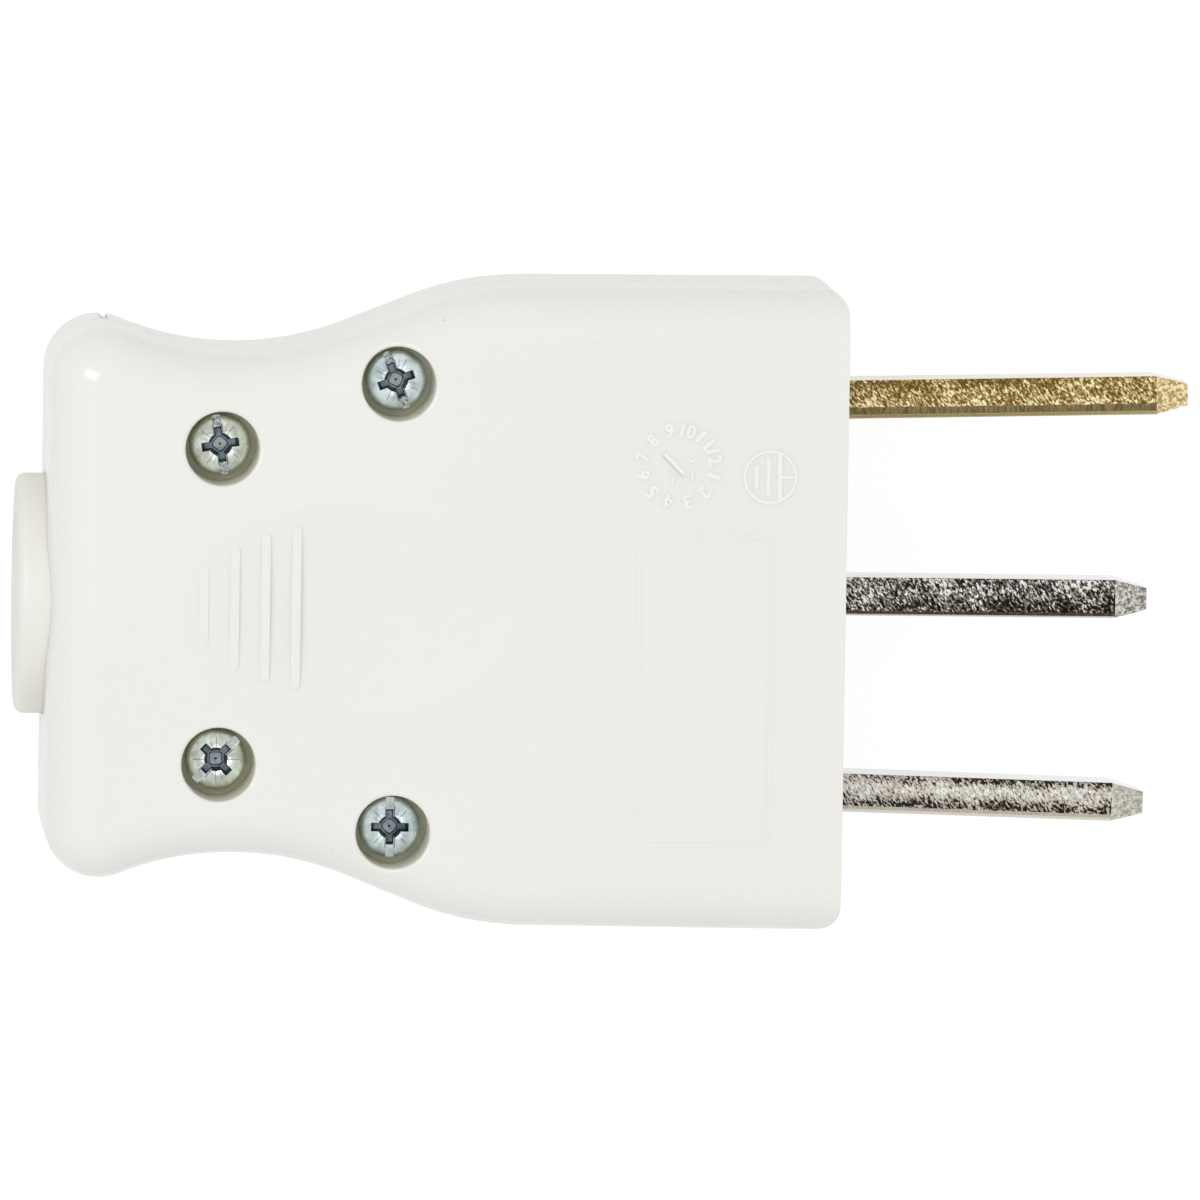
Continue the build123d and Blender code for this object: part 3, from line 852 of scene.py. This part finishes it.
@dataclass
class CoverMarks:
    """Raised marks on the flat front part of the cover: month dial, earth sign and an empty panel."""

    palette: Palette
    top_z: float = 30.0
    stand: float = 0.1
    dial_place: Pair = (6.6, 14.47)
    dial_radius: float = 3.65
    figure_height: float = 1.55
    earth_place: Pair = (15.75, 13.49)
    earth_radius: float = 2.8
    earth_bars: tuple[Pair, ...] = ((0.95, 4.7), (-0.18, 3.8), (-1.35, 2.4))
    line: float = 0.5
    line_slope: float = 0.12
    panel_low: Pair = (2.8, -23.3)
    panel_high: Pair = (16.1, 7.6)
    panel_corner: float = 1.0
    panel_stand: float = 0.02
    panel_line: float = 0.14
    plastic: bpy.types.Material | None = field(default=None, repr=False)

    def dial(self) -> bpy.types.Object:
        """Twelve month figures in a ring round an arrow, with a darker strip along the arrow's bar that is a
        painted shadow.

        Returns:
            The dial, without the painted shadow strip.
        """
        x, y = self.dial_place
        parts = []
        for month in range(1, 13):
            turn = MONTH_TURN * (month - TOP_MONTH)
            place = at(x, y, self.top_z, turn) @ at(0.0, self.dial_radius, 0.0)
            width = TWO_FIGURES if month > 9 else (NARROW_FIGURE if month == 1 else ONE_FIGURE)
            parts.append(lettering(str(month), self.figure_height, width, 2 * self.stand, place))
        # The arrow's bar, the two strokes of its point, and a hooked line on each side of the bar.
        form = bmesh.new()
        bar = at(x - 0.35, y + 0.2, self.top_z, -45.0)
        stroke(form, (2.9, 0.46, 3.2 * self.stand), bar, 0.13)
        stroke(form, (0.8, 0.28, 1.9 * self.stand), at(x + 1.0, y - 1.35, self.top_z))
        stroke(form, (0.28, 0.9, 2.0 * self.stand), at(x + 1.42, y - 0.95, self.top_z))
        for side in (1, -1):
            arm = at(x - 0.1, y + 0.1, self.top_z, -45.0) @ at(0.25, 1.2 * side, 0.0, 6.0 * side)
            stroke(form, (1.3, 0.28, 2.0 * self.stand), arm)
            stroke(form, (0.26, 0.6, 1.9 * self.stand), arm @ at(0.62, 0.2 * side, 0.0, -40.0 * side))
        parts.append(as_mesh("dial_arrow", form))
        # A darker strip beside the arrow's bar: a painted shadow.
        shadow_strip = bmesh.new()
        stroke(shadow_strip, (3.0, 0.2, 0.6 * self.stand), bar @ at(-0.05, -0.31, 0.0), 0.02)
        to_scene("dial_stain", as_mesh("dial_stain", shadow_strip), Slot.HOUSING, self.palette.stain.material())
        return to_scene("month_dial", joined("month_dial", parts), Slot.HOUSING, self.plastic)

    def earth_sign(self) -> bpy.types.Object:
        """Earth sign in a ring, its stem towards the blades.

        Returns:
            The sign.
        """
        form = bmesh.new()
        centre = at(*self.earth_place, self.top_z)
        profile = [
            (self.earth_radius - self.line, -self.stand),
            (self.earth_radius, -self.stand),
            (self.earth_radius - self.line_slope, self.stand),
            (self.earth_radius - self.line + self.line_slope, self.stand),
        ]
        spun(form, profile, centre, closed=True)
        for offset, length in self.earth_bars:
            stroke(form, (self.line, length, 1.9 * self.stand), centre @ at(offset, 0.0, 0.0))
        stroke(form, (1.5, 0.36, 1.8 * self.stand), centre @ at(1.75, 0.0, 0.0))
        return to_scene("earth_sign", as_mesh("earth_sign", form), Slot.HOUSING, self.plastic)

    def panel(self) -> bpy.types.Object:
        """Fine raised line round the panel that stays empty.

        Returns:
            The line.
        """
        (x0, y0), (x1, y1) = self.panel_low, self.panel_high
        form = bmesh.new()
        middle = at((x0 + x1) / 2, (y0 + y1) / 2, self.top_z)
        block(form, (x1 - x0, y1 - y0, 2 * self.panel_stand), middle)
        upright = [e for e in form.edges if abs(e.verts[0].co.z - e.verts[1].co.z) > self.panel_stand * MM]
        rounded(form, upright, self.panel_corner, 5)
        top = [f for f in form.faces if f.normal.z > 0.9]
        bmesh.ops.inset_region(form, faces=top, thickness=self.panel_line * MM, use_even_offset=True)
        bmesh.ops.delete(form, geom=top, context="FACES")
        floor = [f for f in form.faces if f.normal.z < -0.9]
        bmesh.ops.delete(form, geom=floor, context="FACES")
        return to_scene("panel_line", as_mesh("panel_line", form), Slot.HOUSING, self.plastic)

    def build(self) -> None:
        """Make every mark."""
        self.plastic = self.palette.marks.material()
        self.dial()
        self.earth_sign()
        self.panel()


class Metal(Enum):
    """Places of a screw's finishes in its list of materials."""

    PLATE = 0
    # The recess and pit finishes are painted shade; the edge finish is a painted glint.
    RECESS = 1
    PIT = 2
    EDGE = 3
    SLOT = 4


@dataclass
class CrossScrew:
    """Cross-head screw with a slot right across: domed head, tapered wings, core, centre pit, tick marks."""

    metals: list[bpy.types.Material]
    head_radius: float
    head_height: float
    shank_radius: float
    length: float
    span: float = 4.0
    wing: float = 0.98
    depth: float = 1.25
    core: float = 1.25
    slot_width: float = 0.86
    slot_depth: float = 0.45
    edge: float = 0.38
    pitch: float = 0.7
    root_share: float = 0.84
    dome: float = 0.12
    form: bpy.types.Mesh | None = field(default=None, repr=False)

    def blank(self) -> bpy.types.Mesh:
        """Turned head and threaded shank, seat at z = 0.

        Returns:
            Its mesh.
        """
        form = bmesh.new()
        r, h, edge = self.head_radius, self.head_height, self.edge
        profile = [(0.0, h)]
        for share in (0.2, 0.4, 0.6, 0.75):
            profile.append((r * share, h - self.dome * share * share))
        rim_z = h - self.dome * ((r - edge) / r) ** 2
        for angle in (0, 22, 45, 68, 90):
            a = math.radians(angle)
            profile.append((r - edge + edge * math.sin(a), rim_z - edge + edge * math.cos(a)))
        crest, root = self.shank_radius, self.shank_radius * self.root_share
        profile += [(r, 0.0), (crest, 0.0)]
        for n in range(max(2, int((self.length - 0.8) / self.pitch))):
            z = -0.3 - n * self.pitch
            profile.append((crest, z))
            profile.append((crest, z - 0.12 * self.pitch))
            profile.append((root, z - 0.5 * self.pitch))
            profile.append((root, z - 0.62 * self.pitch))
        profile.append((root, -self.length + 0.35))
        profile.append((crest * 0.6, -self.length))
        profile.append((0.0, -self.length))
        spun(form, profile, Matrix.Identity(4))
        bmesh.ops.remove_doubles(form, verts=form.verts, dist=0.001 * MM)
        return as_mesh("screw_blank", form)

    def cutter(self, size: Pair, depth: float, taper: float, turn: float) -> bpy.types.Mesh:
        """Block that narrows downwards, to be cut from the head.

        Args:
            size: Length and width at the top of the head, in millimetres.
            depth: How deep it goes, in millimetres.
            taper: How much each side draws in at the bottom, in millimetres.
            turn: Turn about the screw's axis, in degrees.

        Returns:
            The cutter's mesh.
        """
        form = bmesh.new()
        over = 0.4
        height = depth + over
        length, width = size
        block(form, (length, width, height), at(0.0, 0.0, self.head_height + over - height / 2, turn))
        low = [v for v in form.verts if v.co.z < self.head_height * MM - 0.5 * depth * MM]
        back = Matrix.Rotation(math.radians(-turn), 4, "Z")
        flat = Matrix.Diagonal(((length - 2 * taper) / length, max(0.2, (width - taper) / width), 1.0, 1.0))
        bmesh.ops.transform(form, matrix=back.inverted() @ flat @ back, verts=low)
        return as_mesh("screw_cutter", form)

    def funnel(self, sides: int, radii: Pair, depths: Pair, turn: float, soft: float) -> bpy.types.Mesh:
        """Funnel to be cut from the head.

        Args:
            sides: How many sides it has.
            radii: Its radius at the bottom and at the top, in millimetres.
            depths: How far below the head's top it ends and starts, in millimetres.
            turn: Turn about the screw's axis, in degrees.
            soft: How far its corners are rounded, in millimetres.

        Returns:
            The cutter's mesh.
        """
        form = bmesh.new()
        middle = at(0.0, 0.0, self.head_height - (depths[0] + depths[1]) / 2, turn)
        bmesh.ops.create_cone(
            form,
            cap_ends=True,
            segments=sides,
            radius1=radii[0] * MM,
            radius2=radii[1] * MM,
            depth=(depths[0] - depths[1]) * MM,
            matrix=middle,
        )
        if soft:
            slanted = [e for e in form.edges if abs(e.verts[0].co.z - e.verts[1].co.z) > 0.05 * MM]
            rounded(form, slanted, soft)
        return as_mesh("screw_cutter", form)

    def pattern(self) -> bpy.types.Mesh:
        """Whole screw with its recess cut, at the origin, slot along x.

        Returns:
            Its mesh, with a material number on every face.
        """
        base = linked("screw_form", self.blank())
        wide = 2 * self.head_radius + 1.0
        floor, core = self.depth, self.core
        # The slot with its borders darkened by painted shade, and the pressed edge round the middle,
        # lightened by a painted glint.
        cutters = [
            (Metal.RECESS, self.cutter((wide, self.slot_width + 0.16), 0.06, 0.0, 0.0)),
            (Metal.SLOT, self.cutter((wide, self.slot_width), self.slot_depth, 0.03, 0.0)),
            (Metal.EDGE, self.funnel(4, (1.02 * core, 1.52 * core), (0.13, -0.03), 45.0, 0.12)),
        ]
        # The tick marks between the wings, darkened by painted shade.
        for turn in (45.0, 135.0):
            cutters.append((Metal.RECESS, self.cutter((self.span * 1.2, 0.13), 0.2, 0.1, turn)))
            cutters.append((Metal.RECESS, self.cutter((self.span * 1.06, 0.09), 0.12, 0.06, turn + 17.0)))
        # The wings, the core, the pit in its floor and the pit's point, all darkened by painted shade.
        cutters += [
            (Metal.RECESS, self.cutter((self.span, self.wing), floor, 0.45, 0.0)),
            (Metal.RECESS, self.cutter((self.span, self.wing), floor, 0.45, 90.0)),
            (Metal.RECESS, self.funnel(20, (0.68 * core, core), (floor, -0.1), 9.0, 0.0)),
            (Metal.PIT, self.funnel(4, (0.64 * core, 0.86 * core), (floor + 0.25, floor - 0.25), 0.0, 0.26)),
            (Metal.RECESS, self.funnel(10, (0.05, 0.17), (floor + 0.4, floor + 0.2), 0.0, 0.0)),
        ]
        for metal in self.metals:
            base.data.materials.append(metal)
        for number, (metal, mesh) in enumerate(cutters):
            tool = linked(f"screw_tool_{number}", mesh)
            for coating in self.metals:
                mesh.materials.append(coating)
            for polygon in mesh.polygons:
                polygon.material_index = metal.value
            cut = base.modifiers.new(tool.name, "BOOLEAN")
            cut.operation = "DIFFERENCE"
            cut.solver = "EXACT"
            cut.object = tool
        bpy.context.view_layer.update()
        result = bpy.data.meshes.new_from_object(base.evaluated_get(bpy.context.evaluated_depsgraph_get()))
        for name in [o.name for o in bpy.data.objects if o.name.startswith("screw_tool_")]:
            bpy.data.objects.remove(bpy.data.objects[name])
        bpy.data.objects.remove(base)
        smooth_by_angle(result, 32.0)
        return result

    def place(self, node: str, seat: Vector, turn: float, **coats: bpy.types.Material) -> bpy.types.Object:
        """Set one screw in the place of its CAD node.

        Args:
            node: Name of the CAD node that it stands for.
            seat: Where the underside of its head is, in metres.
            turn: Way its slot points, in degrees from +X.
            coats: This screw's own finishes where they aren't the common ones, by the name of the metal.

        Returns:
            The screw.
        """
        if self.form is None:
            self.form = self.pattern()
        mesh = self.form.copy()
        mesh.transform(Matrix.Translation(seat) @ Matrix.Rotation(math.radians(turn), 4, "Z"))
        for metal, coat in coats.items():
            mesh.materials[Metal[metal].value] = coat
        piece = to_scene(f"{node}_detailed", mesh, Slot.ZINC)
        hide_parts(node)
        return piece


def smooth_by_angle(mesh: bpy.types.Mesh, limit: float) -> None:
    """Shade a mesh smooth, but for its sharp edges.

    Args:
        mesh: The mesh.
        limit: Angle between two faces from which their edge is sharp, in degrees.
    """
    form = bmesh.new()
    form.from_mesh(mesh)
    for face in form.faces:
        face.smooth = True
    for edge in form.edges:
        edge.smooth = len(edge.link_faces) == 2 and edge.calc_face_angle(0.0) < math.radians(limit)
    form.to_mesh(mesh)
    form.free()


@dataclass
class Fixings:
    """All nine screws, each in its own node's place."""

    metals: list[bpy.types.Material]
    bluish: bpy.types.Material
    scraped: bpy.types.Material
    housing_turns: tuple[float, ...] = (100.0, 110.0, 45.0, 90.0)
    bluish_heads: tuple[int, ...] = (2, 4)
    scraped_slots: tuple[int, ...] = (1, 2)
    blade_leans: tuple[tuple[str, float], ...] = (("earth", 1.45), ("centre", 0.0), ("outer", -1.45))

    def seat(self, node: str, head_height: float) -> Vector:
        """Where the underside of a screw's head is, from its CAD node."""
        low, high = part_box(node)
        return Vector(((low.x + high.x) / 2, (low.y + high.y) / 2, high.z - head_height * MM))

    def build(self) -> None:
        """Make and place every screw."""
        housing = CrossScrew(self.metals, head_radius=3.0, head_height=2.4, shank_radius=2.0, length=14.0)
        for number, turn in enumerate(self.housing_turns, start=1):
            node = f"housing_screw_{number}"
            coats = {"PLATE": self.bluish} if number in self.bluish_heads else {}
            if number in self.scraped_slots:
                coats["SLOT"] = self.scraped
            housing.place(node, self.seat(node, housing.head_height), turn, **coats)
        terminal = CrossScrew(
            self.metals, head_radius=4.0, head_height=3.0, shank_radius=2.5, length=7.0, span=4.4, dome=0.3
        )
        for place, lean in self.blade_leans:
            node = f"{place}_terminal_screw"
            terminal.place(node, self.seat(node, terminal.head_height), 90.0 + lean)
        clamp = CrossScrew(
            self.metals, head_radius=2.9, head_height=2.2, shank_radius=1.75, length=12.0, span=3.8
        )
        for side in ("left", "right"):
            node = f"cord_clamp_screw_{side}"
            clamp.place(node, self.seat(node, clamp.head_height), 0.0)


@dataclass
class MouldedBody:
    """Shells, collar and clamp bar: CAD nodes that keep their shape and get their plastic."""

    palette: Palette

    def build(self) -> None:
        """Dress the moulded nodes."""
        plastic = self.palette.housing.material()
        collar = self.palette.collar.material()
        clamp = self.palette.clamp.material()
        for node, material in (
            ("base_shell", plastic),
            ("cover_shell", plastic),
            ("cord_collar", collar),
            ("cord_clamp_bar", clamp),
        ):
            dress(node, material)


@dataclass
class Conductors:
    """Blades, saddle washers and inserts: CAD nodes that get their metals."""

    palette: Palette
    zinc: bpy.types.Material

    def build(self) -> None:
        """Dress the metal nodes."""
        dress("earth_pin", self.palette.brass.material())
        dress("line_pin_centre", self.palette.nickel_centre.material())
        dress("line_pin_outer", self.palette.nickel_outer.material())
        for place in ("earth", "centre", "outer"):
            dress(f"{place}_clamp_plate", self.zinc)
        turned = self.palette.turned_brass.material()
        for number in range(1, 5):
            dress(f"screw_insert_{number}", turned)


def dress(node: str, material: bpy.types.Material) -> None:
    """Give a CAD node its finish in place of the plain one.

    Args:
        node: Name of the node.
        material: Its finish.
    """
    piece = frame["nodes"][node]
    for number in range(len(piece.material_slots)):
        piece.material_slots[number].material = material
    log.info("node %s: %s", node, material.name)


@dataclass
class Studio:
    """Pale floor, soft studio light and the photograph's camera, almost straight above the cover.

    Lengths are in metres here, but for the floor's drop.
    """

    distance: float = 1.8
    picture_width: float = 0.12
    aim: Triple = (-0.000085, -0.000134, 0.015)
    roll: float = 0.89
    lean_back: Pair = (0.061, -0.083)
    sensor: float = 36.0
    sky: float = 0.76
    floor_glow: float = 0.8
    floor_faint: float = 0.34
    floor_matt: float = 0.7
    floor_drop: float = 0.3

    def camera(self) -> None:
        """Set the camera on the photograph's line of sight."""
        roll = math.radians(self.roll)
        right = Vector((math.cos(roll), math.sin(roll), self.lean_back[0])).normalized()
        up = Vector((-math.sin(roll), math.cos(roll), self.lean_back[1]))
        back = right.cross(up).normalized()
        up = back.cross(right)
        data = bpy.data.cameras.new("photo_camera")
        data.sensor_width = self.sensor
        data.sensor_height = self.sensor
        data.lens = self.sensor * self.distance / self.picture_width
        data.clip_start = 0.1
        data.clip_end = 20.0
        rig = linked("photo_camera", data)
        turn = Matrix((right, up, back)).transposed().to_4x4()
        rig.matrix_world = Matrix.Translation(Vector(self.aim) + back * self.distance) @ turn
        bpy.context.scene.camera = rig

    def seen(self, tree: bpy.types.NodeTree) -> Socket:
        """1 for what the camera, a mirror or a glass sees of a background, 0 for the light it gives.

        Args:
            tree: Node tree of the background.

        Returns:
            Socket with the value.
        """
        path = tree.nodes.new("ShaderNodeLightPath")
        total = path.outputs["Is Camera Ray"]
        for name in ("Is Glossy Ray", "Is Transmission Ray"):
            join = tree.nodes.new("ShaderNodeMath")
            join.operation = "MAXIMUM"
            tree.links.new(total, join.inputs[0])
            tree.links.new(path.outputs[name], join.inputs[1])
            total = join.outputs[0]
        return total

    def floor(self) -> None:
        """Pale floor that shows white and keeps a faint shadow."""
        form = bmesh.new()
        low = at(0.0, 0.0, -self.floor_drop)
        bmesh.ops.create_grid(form, x_segments=1, y_segments=1, size=3.0, matrix=low)
        mesh = as_mesh("studio_floor", form)
        for polygon in mesh.polygons:
            if polygon.normal.z < 0:
                polygon.flip()
        plane = linked("studio_floor", mesh)
        material = bpy.data.materials.new("studio_floor_white")
        material.use_nodes = True
        tree = material.node_tree
        tree.nodes.clear()
        output = tree.nodes.new("ShaderNodeOutputMaterial")
        matt = tree.nodes.new("ShaderNodeBsdfDiffuse")
        matt.inputs["Color"].default_value = (*[self.floor_matt] * 3, 1.0)
        faint = tree.nodes.new("ShaderNodeBsdfDiffuse")
        faint.inputs["Color"].default_value = (*[self.floor_faint] * 3, 1.0)
        glow = tree.nodes.new("ShaderNodeEmission")
        glow.inputs["Strength"].default_value = self.floor_glow
        both = tree.nodes.new("ShaderNodeAddShader")
        pick = tree.nodes.new("ShaderNodeMixShader")
        tree.links.new(faint.outputs[0], both.inputs[0])
        tree.links.new(glow.outputs[0], both.inputs[1])
        tree.links.new(self.seen(tree), pick.inputs[0])
        tree.links.new(matt.outputs[0], pick.inputs[1])
        tree.links.new(both.outputs[0], pick.inputs[2])
        tree.links.new(pick.outputs[0], output.inputs["Surface"])
        mesh.materials.append(material)

    def sky_light(self) -> None:
        """Even pale light from all round, white where it is seen."""
        world = bpy.data.worlds.new("studio_sky")
        world.use_nodes = True
        tree = world.node_tree
        tree.nodes.clear()
        output = tree.nodes.new("ShaderNodeOutputWorld")
        dim = tree.nodes.new("ShaderNodeBackground")
        white = tree.nodes.new("ShaderNodeBackground")
        for background, strength in ((dim, self.sky), (white, 1.0)):
            background.inputs["Color"].default_value = (1.0, 1.0, 1.0, 1.0)
            background.inputs["Strength"].default_value = strength
        pick = tree.nodes.new("ShaderNodeMixShader")
        tree.links.new(self.seen(tree), pick.inputs[0])
        tree.links.new(dim.outputs[0], pick.inputs[1])
        tree.links.new(white.outputs[0], pick.inputs[2])
        tree.links.new(pick.outputs[0], output.inputs["Surface"])
        bpy.context.scene.world = world

    def lamp(self, name: str, place: Triple, size: Pair, power: float, shows: bool = True) -> None:
        """Soft lamp that looks at the plug.

        Args:
            name: Name of the lamp.
            place: Where it hangs, in metres.
            size: Its width, and its length towards the top of the studio, in metres.
            power: Its power, in watts.
            shows: Whether glossy surfaces show it.
        """
        data = bpy.data.lights.new(name, "AREA")
        data.shape = "RECTANGLE"
        data.size, data.size_y = size
        data.energy = power
        rig = linked(name, data)
        rig.visible_glossy = shows
        look = Vector(place).to_track_quat("Z", "Y")
        rig.matrix_world = Matrix.Translation(Vector(place)) @ look.to_matrix().to_4x4()

    def build(self) -> None:
        """Set camera, floor and lights."""
        bpy.context.scene.view_settings.view_transform = "Standard"
        self.camera()
        self.floor()
        self.sky_light()
        self.lamp("overhead_light", place=(0.1, -0.1, 1.2), size=(1.4, 1.4), power=1.4, shows=False)
        self.lamp("key_light", place=(-0.4, 0.195, 0.83), size=(0.2, 0.48), power=1.65)
        log.info("studio set")


def main() -> None:
    """Build and dress the plug, then the studio."""
    logging.basicConfig(level=logging.INFO, format="%(name)s: %(message)s")
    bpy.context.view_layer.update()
    palette = Palette()
    zinc = palette.zinc.material()
    coats = (palette.recess, palette.pit, palette.edge, palette.slot)
    metals = [zinc, *(coat.material() for coat in coats)]
    MouldedBody(palette).build()
    Conductors(palette, zinc).build()
    Fixings(metals, palette.blue_zinc.material(), palette.scraped.material()).build()
    CoverMarks(palette).build()
    Studio().build()


if __name__ == "__main__":
    main()
